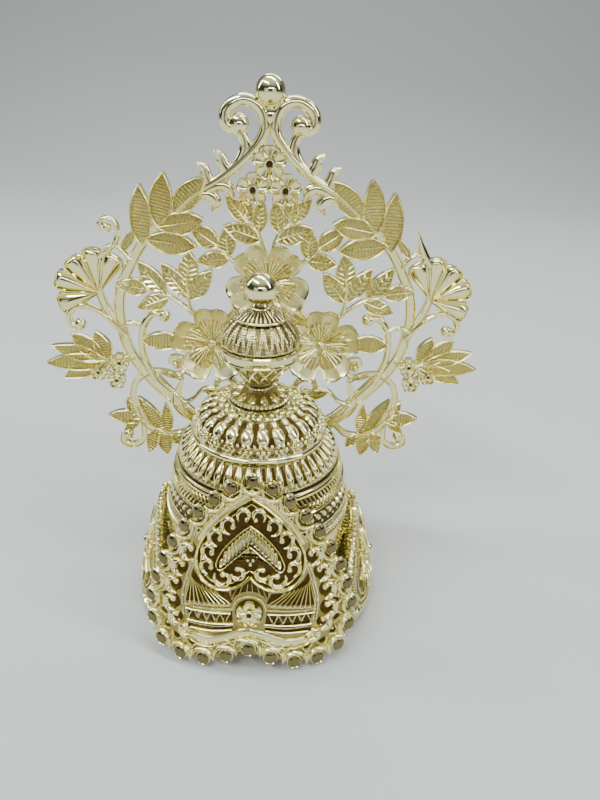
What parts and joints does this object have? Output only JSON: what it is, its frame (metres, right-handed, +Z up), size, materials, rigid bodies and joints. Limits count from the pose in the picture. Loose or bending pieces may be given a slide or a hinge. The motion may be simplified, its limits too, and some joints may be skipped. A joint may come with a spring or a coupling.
{
  "type": "deity crown",
  "caption": "Small hollow tiered crown with studded heart-shaped plates, a lantern spire and a flat pierced halo of leaves and flowers behind.",
  "frame": {"origin": "under the middle of the crown's bounding box, at the level of its foot", "axes": "+Z up along the crown's axis, -Y towards the front heart-shaped plate, halo on the +Y side"},
  "size_m": [0.0998, 0.0516, 0.1044],
  "materials": {
    "polished_gold": "polished gold plating",
    "stamped_gold": "stamped and beaded, gold plated",
    "pierced_gold": "pierced and embossed sheet, gold plated"
  },
  "bodies": {
    "root": {"skirt": "stamped_gold", "collar": "stamped_gold", "petal_band": "stamped_gold", "dome": "stamped_gold", "neck": "polished_gold", "spire_basket": "stamped_gold", "spire_band": "polished_gold", "spire_lantern": "stamped_gold", "spire_cap": "stamped_gold", "spire_ball": "polished_gold", "front_plate": "stamped_gold", "side_plate_left": "stamped_gold", "side_plate_right": "stamped_gold", "halo_plate": "pierced_gold", "halo_ball": "polished_gold", "halo_bracket": "polished_gold", "flower_top": "stamped_gold", "flower_left": "stamped_gold", "flower_right": "stamped_gold"}
  },
  "joints": []
}
